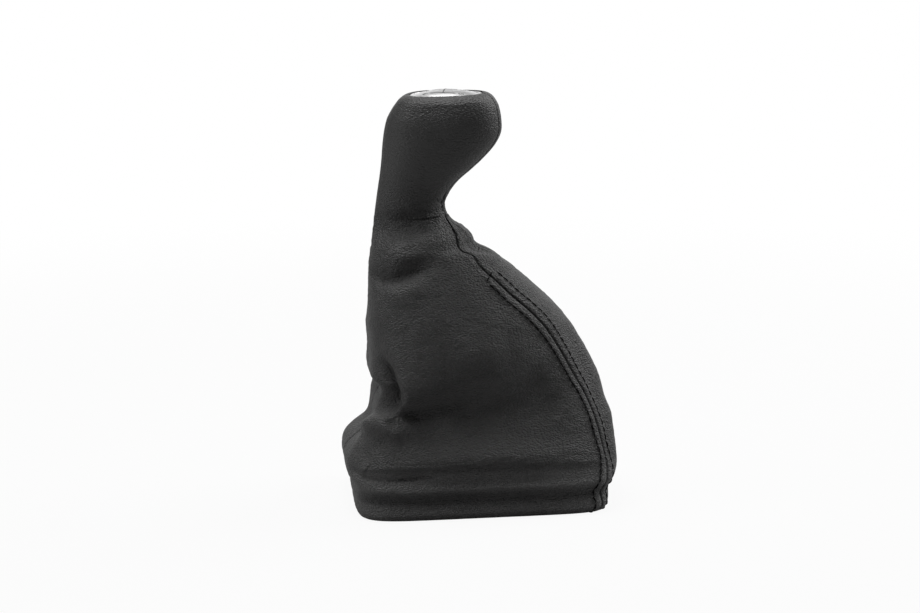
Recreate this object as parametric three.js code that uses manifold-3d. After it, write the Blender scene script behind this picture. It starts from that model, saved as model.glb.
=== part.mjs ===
// Gear lever gaiter with its sewn-on knob: two leather side panels and a front gusset over a moulded
// knob core, a plate let into the top, a sleeve for the lever and a stiff frame in the turned-in hem.
// Millimetres, Z up. X runs to the front, where the knob overhangs, and the near side faces -Y. The
// finished part's origin is on the floor in the middle of its plan.
import * as THREE from 'three';
import { mergeVertices } from 'three/addons/utils/BufferGeometryUtils.js';
import Module from 'manifold-3d';

const wasm = await Module();
wasm.setup();

// Heights
const skirtTop = 22;
const neckHeight = 176;
const knobTop = 241;

// Plan of the hem, the neck and the head, with X from the drawing's own origin
const hemLength = 147.5;
const hemMiddle = -1.75;
const hemWidth = 108;
const neckLength = 40.2;
const neckMiddle = -41.5;
const neckWidth = 36.4;
const headLean = 13;
const noseReach = 33.4;
const headSwell = 6;
const gussetWidth = 88;

// Leather and sewing
const leatherThickness = 1.3;
const pieceGap = 0.3;
const seamGap = 0.5;
const seamDip = 0.9;
const plainSeamDip = 0.3;
const seamDipReach = 1.7;
const stitchDistance = 5.4;
const bandRise = 0.45;
const bandEdge = 2.4;

// Turned-in hem and the frame inside it
const flapHeight = 13.5;
const hemSlack = 0.3;
const frameWall = 3;
const frameChamfer = 0.8;
const frameFlange = 7;
const frameFlangeThickness = 2;
const catchLength = 14;
const catchThickness = 1.6;
const catchDrop = 10;
const catchNub = 1.3;
const catchSetback = 0.7;
const catchRoot = 0.2;
const catchRampHeight = 2;
const catchNubHeight = 2.9;
const catchPlaces = [0, 0.37, 0.65, 1, 1.35, 1.63];

// Knob
const rollHeight = 4.2;
const rollReach = 5.6;
const knobTwist = 14;
const coreBottomAbove = 2;
const coreTaper = 3;
const coreRimEase = 0.6;
const leverDiameter = 12.4;
const leverForward = 0.5;
const socketRoof = 14;
const sleeveWall = 2.6;
const sleeveFlange = 3;
const sleeveFlangeThickness = 2.4;
const sleeveSlit = 2.4;
const sleeveLeadIn = 0.8;
const sleeveTopChamfer = 1;
const cutMargin = 1;

// Plate
const plateSeat = 1.2;
const plateEdge = 2.6;
const plateDome = 1.3;
const plateRim = 1.7;
const plateRimDrop = 0.35;
const plateChamfer = 0.4;
const plateCrown = 0.15;
const plateFlat = 2;
const legLength = 6;
const legWidth = 7;
const legThickness = 1.8;
const legSpacing = 24;
const legRoot = 0.5;

// Mesh steps
const sectionSteps = 180;
const rowStep = 6.6;
const skirtBands = 6;
const sideColumns = 17;
const cornerShare = 0.28;
const cornerPullShare = 0.45;
const gussetColumns = 5;
const besideShare = 0.6;
const tangentStep = 1.5;
const hemRoundShare = 0.3;
const rollShares = [0.35, 0.7, 1];
const plateFieldShares = [0.3, 0.6, 0.9];
const roundSegments = 24;

const skirtAt = (share) => share * skirtTop;
const bodyAt = (share) => skirtTop + share * (neckHeight - skirtTop);
const knobAt = (share) => neckHeight + share * (knobTop - neckHeight);
const leatherRim = knobTop - rollHeight;
const hemRear = hemMiddle - hemLength / 2;
const hemFront = hemMiddle + hemLength / 2;
const neckRear = neckMiddle - neckLength / 2;
const neckFront = neckMiddle + neckLength / 2;
const leverAxis = neckMiddle + leverForward;
const gussetTop = bodyAt(0.965);
const topstitchTop = bodyAt(0.73);
const coreBottom = neckHeight + coreBottomAbove;
const underLeather = leatherThickness + plainSeamDip + pieceGap;
const hemTurn = underLeather + hemSlack;

// Outlines from the hem to the neck, as [height, share of the way from the neck out to the hem], and
// over the knob, as [height, share of how far the head stands out from the neck]
const rearBodyShares = [
  [skirtAt(0), 1], [skirtAt(0.26), 1.065], [skirtAt(0.57), 1.036], [skirtAt(0.88), 1.237],
  [skirtTop, 1.338], [bodyAt(0.04), 1.424], [bodyAt(0.075), 1.295], [bodyAt(0.11), 0.993],
  [bodyAt(0.14), 0.647], [bodyAt(0.165), 0.417], [bodyAt(0.19), 0.317], [bodyAt(0.28), 0.273],
  [bodyAt(0.41), 0.302], [bodyAt(0.6), 0.345], [bodyAt(0.78), 0.288], [bodyAt(0.87), 0.158],
  [neckHeight, 0],
];
const rearKnobShares = [
  [knobAt(0.34), 0.25], [knobAt(0.62), 0.385], [knobAt(0.78), 0.55], [knobAt(0.88), 0.8], [leatherRim, 1],
];
const frontBodyShares = [
  [skirtAt(0), 1], [skirtAt(0.3), 1.015], [skirtAt(0.57), 1.015], [skirtAt(0.88), 1.054],
  [bodyAt(0.02), 1.071], [bodyAt(0.12), 1.06], [bodyAt(0.21), 1.043], [bodyAt(0.3), 1.004],
  [bodyAt(0.4), 0.927], [bodyAt(0.5), 0.835], [bodyAt(0.6), 0.713], [bodyAt(0.7), 0.544],
  [bodyAt(0.79), 0.379], [bodyAt(0.83), 0.31], [bodyAt(0.85), 0.203], [bodyAt(0.9), 0.133],
  [bodyAt(0.95), 0.036], [neckHeight, 0],
];
const frontKnobShares = [
  [knobAt(0.12), 0.09], [knobAt(0.23), 0.26], [knobAt(0.34), 0.5], [knobAt(0.45), 0.72],
  [knobAt(0.56), 0.9], [knobAt(0.66), 1], [knobAt(0.77), 1], [knobAt(0.88), 0.95], [leatherRim, 0.89],
];
const sideBodyShares = [
  [skirtAt(0), 1], [skirtAt(0.34), 1.039], [skirtAt(0.66), 0.978], [skirtTop, 1.045],
  [bodyAt(0.025), 1.022], [bodyAt(0.065), 1.073], [bodyAt(0.1), 1.05], [bodyAt(0.165), 0.933],
  [bodyAt(0.25), 0.911], [bodyAt(0.4), 0.872], [bodyAt(0.5), 0.782], [bodyAt(0.6), 0.654],
  [bodyAt(0.7), 0.52], [bodyAt(0.79), 0.369], [bodyAt(0.87), 0.201], [bodyAt(0.95), 0.039],
  [neckHeight, 0],
];
const sideKnobShares = [
  [knobAt(0.22), 0.27], [knobAt(0.45), 0.8], [knobAt(0.65), 1], [knobAt(0.8), 0.8], [leatherRim, 0.27],
];

function outline(body, knob, neck, hem, head) {
  return [
    ...body.map(([height, share]) => [height, neck + share * (hem - neck)]),
    ...knob.map(([height, share]) => [height, neck + share * head]),
  ];
}

const rearEdge = outline(rearBodyShares, rearKnobShares, neckRear, hemRear, headLean);
const frontEdge = outline(frontBodyShares, frontKnobShares, neckFront, hemFront, noseReach);
const halfWidth = outline(sideBodyShares, sideKnobShares, neckWidth / 2, hemWidth / 2, headSwell);
// How much narrower the plan is at the front than in the middle, as a share, and how square it is
const frontTaper = [
  [skirtAt(0), 0.12], [bodyAt(0.2), 0.12], [bodyAt(0.6), 0.16], [bodyAt(0.9), 0.1],
  [neckHeight, 0.04], [knobAt(0.5), 0.1], [leatherRim, 0.08],
];
const rearSquareness = [
  [skirtAt(0), 6.5], [skirtTop, 5.4], [bodyAt(0.12), 3.8], [bodyAt(0.3), 3], [bodyAt(0.6), 2.6],
  [bodyAt(0.9), 2.2], [neckHeight, 2.1], [knobAt(0.5), 2.2], [leatherRim, 2.5],
];
const frontSquareness = [
  [skirtAt(0), 7], [skirtTop, 6.2], [bodyAt(0.12), 5], [bodyAt(0.3), 3.6], [bodyAt(0.6), 2.6],
  [bodyAt(0.9), 2.2], [neckHeight, 2.1], [knobAt(0.5), 2.2], [leatherRim, 2.5],
];
// Half of the width that the gusset is cut to, as [height, share of its half width at the hem]
const gussetCutShares = [
  [skirtAt(0), 1], [skirtTop, 1], [bodyAt(0.12), 0.932], [bodyAt(0.27), 0.864], [bodyAt(0.47), 0.818],
  [bodyAt(0.66), 0.761], [bodyAt(0.74), 0.682], [bodyAt(0.81), 0.545], [bodyAt(0.86), 0.364],
  [bodyAt(0.9), 0.205], [bodyAt(0.94), 0.091], [gussetTop, 0.03],
];

// Folds, as ridges (rise above 0) and hollows along a path of [share, body share] seen from that side:
// 0 to 1 from the hem's rear to its front, or -1 to 1 across it at the front and the rear. Reach is how
// far the fold spreads to the left and to the right of its path.
const folds = [
  { side: 'near', rise: 3, reach: [9, 11], path: [[0.105, 0.84], [0.214, 0.89], [0.308, 0.92]] },
  { side: 'near', rise: -2.6, reach: [7, 8], path: [[0.119, 0.96], [0.214, 0.98], [0.308, 1]] },
  {
    side: 'near', rise: -4.4, reach: [4, 5],
    path: [[0.105, 0.745], [0.173, 0.76], [0.254, 0.81], [0.336, 0.86]],
  },
  { side: 'near', rise: 2.2, reach: [6, 6], path: [[0.119, 0.695], [0.186, 0.7], [0.281, 0.75]] },
  {
    side: 'near', rise: 3.4, reach: [7, 3],
    path: [[0.058, 0.5], [0.112, 0.44], [0.153, 0.37], [0.163, 0.3], [0.146, 0.24]],
  },
  {
    side: 'corner', rise: -8, reach: [6, 9],
    path: [[0.058, 0.43], [0.098, 0.36], [0.102, 0.28], [0.092, 0.2], [0.064, 0.14]],
  },
  {
    side: 'corner', rise: 1.8, reach: [3, 3.4],
    path: [[0.071, 0.37], [0.064, 0.29], [0.064, 0.2], [0.044, 0.12]],
  },
  {
    side: 'near', rise: -4.4, reach: [7, 9],
    path: [[0.119, 0.155], [0.308, 0.195], [0.512, 0.235], [0.715, 0.285]],
  },
  { side: 'near', rise: -3.6, reach: [15, 15], path: [[0.661, 0.38], [0.824, 0.24]] },
  { side: 'near', rise: 2.4, reach: [10, 12], path: [[0.241, 0.06], [0.512, 0.1], [0.81, 0.09]] },
  { side: 'near', rise: 2.8, reach: [15, 15], path: [[0.349, 0.42], [0.607, 0.5]] },
  { side: 'near', rise: -2.4, reach: [2.6, 3], path: [[-0.058, 0.045], [0.051, 0.015], [0.214, 0.02]] },
  { side: 'far', rise: 3, reach: [10, 10], path: [[0.105, 0.76], [0.241, 0.84], [0.336, 0.9]] },
  { side: 'far', rise: -2.8, reach: [4.5, 5], path: [[0.092, 0.68], [0.2, 0.72], [0.349, 0.82]] },
  { side: 'far', rise: 3.4, reach: [5, 7], path: [[0.078, 0.42], [0.173, 0.34], [0.214, 0.22]] },
  {
    side: 'far', rise: -4, reach: [7, 8],
    path: [[0.119, 0.24], [0.281, 0.18], [0.553, 0.24], [0.742, 0.32]],
  },
  { side: 'far', rise: 2.4, reach: [13, 13], path: [[0.444, 0.44], [0.688, 0.4]] },
  { side: 'front', rise: -1.6, reach: [4, 5], path: [[-0.444, 0.86], [0, 0.82], [0.444, 0.85]] },
  { side: 'front', rise: 1.4, reach: [6, 6], path: [[-0.296, 0.9], [0, 0.88], [0.296, 0.9]] },
  { side: 'front', rise: -1.8, reach: [8, 8], path: [[-0.63, 0.3], [0, 0.26], [0.63, 0.3]] },
  { side: 'rear', rise: -2.4, reach: [5, 6], path: [[-0.556, 0.34], [0, 0.3], [0.556, 0.33]] },
  { side: 'rear', rise: 2.4, reach: [9, 9], path: [[-0.852, 0.03], [-0.481, 0.03]] },
  { side: 'rear', rise: 0.8, reach: [8, 8], path: [[-0.481, 0.6], [0.074, 0.54], [0.444, 0.5]] },
];
const lengthwise = { axis: 'x', from: hemRear, span: hemLength };
const crosswise = { axis: 'y', from: 0, span: hemWidth / 2 };
const facing = {
  near: { ...lengthwise, out: new THREE.Vector3(0, -1, 0) },
  corner: { ...lengthwise, out: new THREE.Vector3(-0.6, -0.8, 0) },
  far: { ...lengthwise, out: new THREE.Vector3(0, 1, 0) },
  front: { ...crosswise, out: new THREE.Vector3(1, 0, 0) },
  rear: { ...crosswise, out: new THREE.Vector3(-1, 0, 0) },
};
const facingFromShare = 0.05;
const facingFullShare = 0.5;
const foldStartShares = [-0.12, 0.3];
const foldEndShares = [1.12, 0.7];
const foldsFrom = skirtTop - 1;
const foldsFull = skirtTop + 4;
const foldsEase = 8;

// Rises from 0 at one value to 1 at another, which may be the lower one
function smooth(none, full, value) {
  const t = THREE.MathUtils.clamp((value - none) / (full - none), 0, 1);
  return t * t * (3 - 2 * t);
}

// A smooth curve through the points of a table
function curveAt(table, at) {
  const last = table.length - 1;
  if (at <= table[0][0]) return table[0][1];
  if (at >= table[last][0]) return table[last][1];
  let i = 0;
  while (table[i + 1][0] < at) i += 1;
  const slope = (a, b) => (table[b][1] - table[a][1]) / (table[b][0] - table[a][0]);
  const tangent = (k) => slope(Math.max(k - 1, 0), Math.min(k + 1, last));
  const span = table[i + 1][0] - table[i][0];
  const t = (at - table[i][0]) / span;
  const t2 = t * t;
  const t3 = t2 * t;
  return (2 * t3 - 3 * t2 + 1) * table[i][1] + (t3 - 2 * t2 + t) * span * tangent(i)
    + (3 * t2 - 2 * t3) * table[i + 1][1] + (t3 - t2) * span * tangent(i + 1);
}

// The near half of a level section, from the rear centre to the front centre, with an inset all round
function halfSection(level, inset) {
  const rear = curveAt(rearEdge, level) + inset;
  const front = curveAt(frontEdge, level) - inset;
  const half = curveAt(halfWidth, level);
  const taper = curveAt(frontTaper, level);
  const rearPower = 2 / curveAt(rearSquareness, level);
  const frontPower = 2 / curveAt(frontSquareness, level);
  const points = [];
  for (let i = 0; i <= sectionSteps; i += 1) {
    const angle = Math.PI * (1 - i / sectionSteps);
    const cos = Math.cos(angle);
    const power = cos > 0 ? frontPower : rearPower;
    const along = Math.sign(cos) * Math.abs(cos) ** power;
    const across = i === 0 || i === sectionSteps ? 0 : Math.sin(angle) ** power;
    const x = (rear + front) / 2 + along * (front - rear) / 2;
    points.push(new THREE.Vector2(x, -(half * (1 - taper * along) - inset) * across));
  }
  const lengths = [0];
  for (let i = 1; i <= sectionSteps; i += 1) {
    lengths.push(lengths[i - 1] + points[i].distanceTo(points[i - 1]));
  }
  return { points, lengths, total: lengths[sectionSteps] };
}

// A place on the whole section loop: 0 is the rear centre, 1 the front centre, 0 to 1 the near half
// and 1 to 2 the far half
function loopPoint(section, place) {
  const wrapped = ((place % 2) + 2) % 2;
  const near = wrapped <= 1;
  const length = section.total * (near ? wrapped : 2 - wrapped);
  let low = 0;
  let high = sectionSteps;
  while (high - low > 1) {
    const middle = (low + high) >> 1;
    if (section.lengths[middle] > length) high = middle;
    else low = middle;
  }
  const share = (length - section.lengths[low]) / (section.lengths[high] - section.lengths[low]);
  const point = section.points[low].clone().lerp(section.points[high], share);
  if (!near) point.y = -point.y;
  return point;
}

// The soft gaiter lets the knob turn a little about the lever, towards the near side
function twistAt(level) {
  return -THREE.MathUtils.degToRad(knobTwist) * smooth(bodyAt(0.5), knobAt(0.1), level);
}

function twisted(flat, level, z) {
  const turn = twistAt(level);
  const cos = Math.cos(turn);
  const sin = Math.sin(turn);
  const dx = flat.x - leverAxis;
  return new THREE.Vector3(leverAxis + dx * cos - flat.y * sin, dx * sin + flat.y * cos, z);
}

function rowPoint(row, place) {
  return twisted(loopPoint(row.section, place), row.level, row.z);
}

// How far a fold lifts the leather at a point that faces a direction
function foldRise(fold, point, out) {
  const side = facing[fold.side];
  const share = smooth(facingFromShare, facingFullShare, out.dot(side.out));
  if (share === 0) return 0;
  const path = fold.path.map(([across, up]) => (
    new THREE.Vector2(side.from + across * side.span, bodyAt(up))
  ));
  const at = new THREE.Vector2(point[side.axis], point.z);
  let nearest = Infinity;
  let left = false;
  let travel = 0;
  for (let i = 0; i < path.length - 1; i += 1) {
    const leg = path[i + 1].clone().sub(path[i]);
    const from = at.clone().sub(path[i]);
    const held = THREE.MathUtils.clamp(from.dot(leg) / leg.lengthSq(), 0, 1);
    const distance = from.clone().addScaledVector(leg, -held).length();
    if (distance < nearest) {
      nearest = distance;
      left = leg.cross(from) > 0;
      travel = (i + held) / (path.length - 1);
    }
  }
  const reach = left ? fold.reach[0] : fold.reach[1];
  const fade = smooth(...foldStartShares, travel) * smooth(...foldEndShares, travel);
  return share * fade * fold.rise * Math.exp(-((nearest / reach) ** 2));
}

// Leather dips into a seam
function seamHollow(distance, depth) {
  return -depth * Math.exp(-((distance / seamDipReach) ** 2));
}

// A row of the leather: its height, the section it follows, how far it is moved in and where the
// front seam crosses it
function makeRow(z, level, inset, relief = 0) {
  const half = level > gussetTop ? 0 : curveAt(gussetCutShares, level) * gussetWidth / 2;
  const full = halfSection(level, 0).total;
  return { z, level, relief, full, section: halfSection(level, inset), seam: 1 - half / full, slant: 1 };
}

// Plain rows from one height to another
function climb(from, to, count, relief = 0) {
  return Array.from({ length: count + 1 }, (_, i) => {
    const z = from + (to - from) * i / count;
    return makeRow(z, z, 0, relief);
  });
}

function linked(rows) {
  rows.forEach((row, i) => {
    row.before = rows[Math.max(i - 1, 0)];
    row.after = rows[Math.min(i + 1, rows.length - 1)];
  });
  rows.forEach((row) => {
    row.slant = row.seam === 1 ? 1 : seamSlant(row);
  });
  return rows;
}

// Rows of the leather from the top edge of the flap inside, round the hem and up over the knob's rim
function leatherRows() {
  const flap = 2 * hemTurn + frameWall;
  const bodyBands = Math.round((gussetTop - skirtTop) / rowStep);
  const upperBands = Math.round((leatherRim - gussetTop) / rowStep);
  const hem = [
    makeRow(flapHeight, 0, flap),
    makeRow(flapHeight / 2, 0, flap),
    makeRow(hemTurn, 0, flap),
    makeRow(hemRoundShare * hemTurn, 0, flap - hemRoundShare * hemTurn),
    makeRow(0, 0, flap - hemTurn),
    makeRow(0, 0, hemTurn),
    makeRow(hemRoundShare * hemTurn, 0, hemRoundShare * hemTurn),
  ];
  const roll = rollShares.map((share) => {
    const angle = share * Math.PI / 2;
    const inset = rollReach * (1 - Math.cos(angle));
    return makeRow(leatherRim + rollHeight * Math.sin(angle), leatherRim, inset);
  });
  return linked([
    ...hem,
    ...climb(hemTurn, skirtTop, skirtBands, 1),
    ...climb(skirtTop, gussetTop, bodyBands, 1).slice(1),
    ...climb(gussetTop + seamGap, leatherRim, upperBands, 1),
    ...roll,
  ]);
}

// Sine of the angle between the front seam and the level section
function seamSlant(row) {
  const after = row.after.seam === 1 ? row : row.after;
  const seam = rowPoint(after, after.seam).sub(rowPoint(row.before, row.before.seam));
  const level = tangentAlong(row, row.seam);
  return seam.clone().cross(level).length() / (seam.length() * level.length());
}

function tangentAlong(row, place) {
  const step = tangentStep / row.section.total;
  return rowPoint(row, place + step).sub(rowPoint(row, place - step));
}

function outwardAt(row, place) {
  const up = rowPoint(row.after, place).sub(rowPoint(row.before, place));
  return tangentAlong(row, place).cross(up).normalize();
}

// The outside and the inside of the leather at a place on a row
function leatherAt(row, place) {
  const point = rowPoint(row, place);
  const out = outwardAt(row, place);
  const half = place <= 1 ? place : 2 - place;
  const toFront = Math.abs(half - row.seam) * row.full * row.slant;
  const toRear = half * row.full;
  const topstitched = smooth(topstitchTop + rowStep, topstitchTop, row.level);
  const aboveSkirt = smooth(foldsFrom, foldsFull, row.level);
  const frontDepth = THREE.MathUtils.lerp(plainSeamDip, seamDip, topstitched * aboveSkirt);
  let rise = seamHollow(toFront, frontDepth) + seamHollow(toRear, plainSeamDip);
  rise += bandRise * topstitched * smooth(stitchDistance + bandEdge, stitchDistance, toFront);
  const loose = aboveSkirt * smooth(coreBottom, coreBottom - foldsEase, row.level);
  for (const fold of folds) rise += loose * foldRise(fold, point, out);
  rise *= row.relief;
  return {
    outside: point.clone().addScaledVector(out, rise),
    inside: point.clone().addScaledVector(out, rise - leatherThickness),
  };
}

// A shell of leather over a grid of rows and places
function leatherPanel(rows, placesOn) {
  const grid = rows.map((row) => placesOn(row).map((place) => leatherAt(row, place)));
  const height = grid.length;
  const width = grid[0].length;
  const positions = [];
  for (const key of ['outside', 'inside']) {
    for (const line of grid) for (const cell of line) positions.push(...cell[key].toArray());
  }
  const outer = (r, c) => r * width + c;
  const inner = (r, c) => height * width + outer(r, c);
  const index = [];
  const quad = (a, b, c, d) => index.push(a, b, c, a, c, d);
  for (let r = 0; r < height - 1; r += 1) {
    for (let c = 0; c < width - 1; c += 1) {
      quad(outer(r, c), outer(r, c + 1), outer(r + 1, c + 1), outer(r + 1, c));
      quad(inner(r, c), inner(r + 1, c), inner(r + 1, c + 1), inner(r, c + 1));
    }
    quad(outer(r, 0), outer(r + 1, 0), inner(r + 1, 0), inner(r, 0));
    quad(outer(r, width - 1), inner(r, width - 1), inner(r + 1, width - 1), outer(r + 1, width - 1));
  }
  for (let c = 0; c < width - 1; c += 1) {
    quad(outer(0, c), inner(0, c), inner(0, c + 1), outer(0, c + 1));
    quad(outer(height - 1, c), outer(height - 1, c + 1), inner(height - 1, c + 1), inner(height - 1, c));
  }
  return indexed(positions, index);
}

function indexed(positions, index) {
  const geometry = new THREE.BufferGeometry();
  geometry.setAttribute('position', new THREE.Float32BufferAttribute(positions, 3));
  geometry.setIndex(index);
  return geometry;
}

// Columns close together beside the seams and even in between
const seamColumns = [0, 1.1 * seamDipReach, stitchDistance, stitchDistance + bandEdge];
const rearColumns = [0, 1.3 * seamDipReach];

function sidePlaces(row) {
  const total = row.full;
  const start = seamGap / 2 / total;
  const end = row.seam - seamGap / 2 / (total * row.slant);
  const first = rearColumns.map((distance) => start + distance / total);
  const last = seamColumns.map((distance) => end - distance / (total * row.slant)).reverse();
  const places = [...first];
  const from = first[first.length - 1];
  for (let i = 1; i < sideColumns; i += 1) {
    const even = i / sideColumns;
    const pulled = even - cornerPullShare * Math.sin(2 * Math.PI * (even - cornerShare)) / (2 * Math.PI);
    const start = cornerPullShare * Math.sin(2 * Math.PI * cornerShare) / (2 * Math.PI);
    places.push(from + (last[0] - from) * (pulled - start));
  }
  return [...places, ...last];
}

function gussetPlaces(row) {
  const total = row.full;
  const start = row.seam + seamGap / 2 / (total * row.slant);
  const half = 1 - start;
  const beside = seamColumns.map((distance, i) => {
    const share = besideShare * i / (seamColumns.length - 1);
    return start + Math.min(distance / (total * row.slant), share * half);
  });
  const places = [...beside];
  const from = beside[beside.length - 1];
  for (let i = 1; i < gussetColumns; i += 1) {
    places.push(from + (2 - 2 * from) * i / gussetColumns);
  }
  return [...places, ...beside.map((place) => 2 - place).reverse()];
}

// Loops of one section after another, closed by caps or joined end to end into a ring
function loft(loops, ring = false) {
  const positions = loops.flat().flatMap((point) => point.toArray());
  const count = loops[0].length;
  const index = [];
  const bands = ring ? loops.length : loops.length - 1;
  for (let r = 0; r < bands; r += 1) {
    const next = ((r + 1) % loops.length) * count;
    for (let i = 0; i < count; i += 1) {
      const j = (i + 1) % count;
      index.push(r * count + i, r * count + j, next + j, r * count + i, next + j, next + i);
    }
  }
  if (!ring) {
    for (const [at, flip] of [[0, true], [loops.length - 1, false]]) {
      const centre = loops[at].reduce((sum, point) => sum.add(point), new THREE.Vector3());
      positions.push(...centre.divideScalar(count).toArray());
      const middle = positions.length / 3 - 1;
      for (let i = 0; i < count; i += 1) {
        const a = at * count + i;
        const b = at * count + (i + 1) % count;
        index.push(...(flip ? [middle, b, a] : [middle, a, b]));
      }
    }
  }
  return indexed(positions, index);
}

// Places round the whole loop, at the columns of the panels so that what lies under them fits
function ringPlaces(row) {
  const near = sidePlaces(row);
  const front = row.seam === 1 ? [] : gussetPlaces(row);
  return [...near, ...front, ...near.map((place) => 2 - place).reverse()];
}

function sectionLoop(z, level, inset) {
  const row = makeRow(z, level, inset);
  return ringPlaces(row).map((place) => rowPoint(row, place));
}

function solidOf(geometry) {
  const plain = geometry.clone();
  plain.deleteAttribute('normal');
  plain.deleteAttribute('uv');
  const merged = mergeVertices(plain, 1e-4);
  return new wasm.Manifold(new wasm.Mesh({
    numProp: 3,
    vertProperties: new Float32Array(merged.attributes.position.array),
    triVerts: new Uint32Array(merged.index.array),
  }));
}

function geometryOf(solid) {
  const mesh = solid.getMesh();
  return indexed([...mesh.vertProperties], [...mesh.triVerts]);
}

function box(sizeX, sizeY, sizeZ, x, y, z) {
  return solidOf(new THREE.BoxGeometry(sizeX, sizeY, sizeZ).translate(x, y, z));
}

function turned(profile) {
  const points = profile.map(([radius, z]) => new THREE.Vector2(radius, z));
  const geometry = new THREE.LatheGeometry(points, roundSegments).rotateX(Math.PI / 2);
  return solidOf(geometry.translate(leverAxis, 0, 0));
}

// Turned about the lever as far as the knob is
function turnedWithKnob(geometry) {
  return geometry.translate(-leverAxis, 0, 0).rotateZ(twistAt(knobTop)).translate(leverAxis, 0, 0);
}

// Stiff frame inside the hem: a wall along the skirt, a flange at its top and catches under the flange
function baseFrame() {
  const outer = hemTurn;
  const inner = outer + frameWall;
  const edge = inner + frameFlange;
  const wall = climb(hemTurn, skirtTop, skirtBands).slice(0, -1);
  const frameTop = wall[wall.length - 1].z;
  const flangeUnder = frameTop - frameFlangeThickness;
  let frame = solidOf(loft([
    sectionLoop(wall[0].z, 0, inner),
    sectionLoop(wall[0].z, 0, outer + frameChamfer),
    ...wall.slice(1).map((row) => sectionLoop(row.z, row.level, outer)),
    sectionLoop(frameTop, 0, edge),
    sectionLoop(flangeUnder, 0, edge),
    sectionLoop(flangeUnder, 0, inner),
  ], true));
  for (const place of catchPlaces) frame = frame.add(frameCatch(place, edge, flangeUnder));
  return geometryOf(frame);
}

// A tongue under the flange's inner edge with a nub that snaps under the console's rim
function frameCatch(place, edge, top) {
  const outline = new THREE.Shape([
    new THREE.Vector2(0, catchRoot), new THREE.Vector2(0, -catchDrop),
    new THREE.Vector2(catchThickness, -catchDrop),
    new THREE.Vector2(catchThickness + catchNub, catchRampHeight - catchDrop),
    new THREE.Vector2(catchThickness, catchNubHeight - catchDrop),
    new THREE.Vector2(catchThickness, catchRoot),
  ]);
  const tongue = new THREE.ExtrudeGeometry(outline, { depth: catchLength, bevelEnabled: false });
  const row = makeRow(top, 0, edge - catchThickness - catchSetback);
  const at = rowPoint(row, place);
  const along = tangentAlong(row, place).normalize();
  const up = new THREE.Vector3(0, 0, 1);
  const inward = up.clone().cross(along);
  tongue.translate(0, 0, -catchLength / 2);
  tongue.applyMatrix4(new THREE.Matrix4().makeBasis(inward, up, along));
  tongue.translate(at.x, at.y, at.z);
  return solidOf(tongue);
}

// Heights of the seat for the plate, set by the rim of the leather
const seatHeight = leatherRim + plateSeat;
const plateInset = rollReach + 1.5 * pieceGap;
const legTop = seatHeight + legRoot;
const sleeveTop = seatHeight - socketRoof;

// Moulded core: the form of the knob under its leather, with a pocket for the plate and a lever socket
function knobCore(rows) {
  const form = rows.filter((row) => row.relief === 1 && row.z > coreBottom + coreTaper);
  const formLoop = (row) => ringPlaces(row).map((place) => (
    rowPoint(row, place).addScaledVector(outwardAt(row, place), -underLeather)
  ));
  const loops = [
    sectionLoop(coreBottom, coreBottom, underLeather + coreTaper),
    ...form.map(formLoop),
    sectionLoop(leatherRim + rollHeight - underLeather, leatherRim, rollReach - coreRimEase),
  ];
  let core = solidOf(loft(loops));
  const pocket = [
    sectionLoop(seatHeight - pieceGap, leatherRim, plateInset - pieceGap),
    sectionLoop(knobTop, leatherRim, plateInset - pieceGap),
  ];
  core = core.subtract(solidOf(loft(pocket)));
  for (const leg of plateLegs(pieceGap)) core = core.subtract(leg);
  const bore = leverDiameter / 2 + sleeveWall + pieceGap;
  const flange = bore + sleeveFlange;
  const shoulder = coreBottom + sleeveFlangeThickness + pieceGap;
  core = core.subtract(turned([
    [0, coreBottom - cutMargin], [flange, coreBottom - cutMargin], [flange, shoulder], [bore, shoulder],
    [bore, sleeveTop + pieceGap], [0, sleeveTop + pieceGap],
  ]));
  return geometryOf(core);
}

// Sleeve that grips the lever, split along one side
function leverSleeve() {
  const inside = leverDiameter / 2;
  const outside = inside + sleeveWall;
  const bottom = coreBottom;
  const top = sleeveTop;
  const sleeve = turned([
    [inside + sleeveLeadIn, bottom], [outside + sleeveFlange, bottom],
    [outside + sleeveFlange, bottom + sleeveFlangeThickness], [outside, bottom + sleeveFlangeThickness],
    [outside, top - sleeveTopChamfer], [outside - sleeveTopChamfer, top], [inside, top],
    [inside, bottom + sleeveLeadIn], [inside + sleeveLeadIn, bottom],
  ]);
  const slitLength = top - bottom + 2 * cutMargin;
  const slitReach = outside + sleeveFlange + cutMargin;
  return geometryOf(sleeve.subtract(box(
    slitReach, sleeveSlit, slitLength, leverAxis + slitReach / 2, 0, (bottom + top) / 2,
  )));
}

// Two legs under the plate that press into the core, wider by a clearance where they are cut
function plateLegs(clearance) {
  const middle = plateCentre();
  return [-1, 1].map((side) => {
    const leg = new THREE.BoxGeometry(
      legThickness + 2 * clearance, legWidth + 2 * clearance, legLength + clearance,
    );
    leg.translate(middle + side * legSpacing / 2, 0, legTop - (legLength + clearance) / 2);
    return solidOf(turnedWithKnob(leg));
  });
}

function plateCentre() {
  return (curveAt(rearEdge, leatherRim) + curveAt(frontEdge, leatherRim)) / 2;
}

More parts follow.
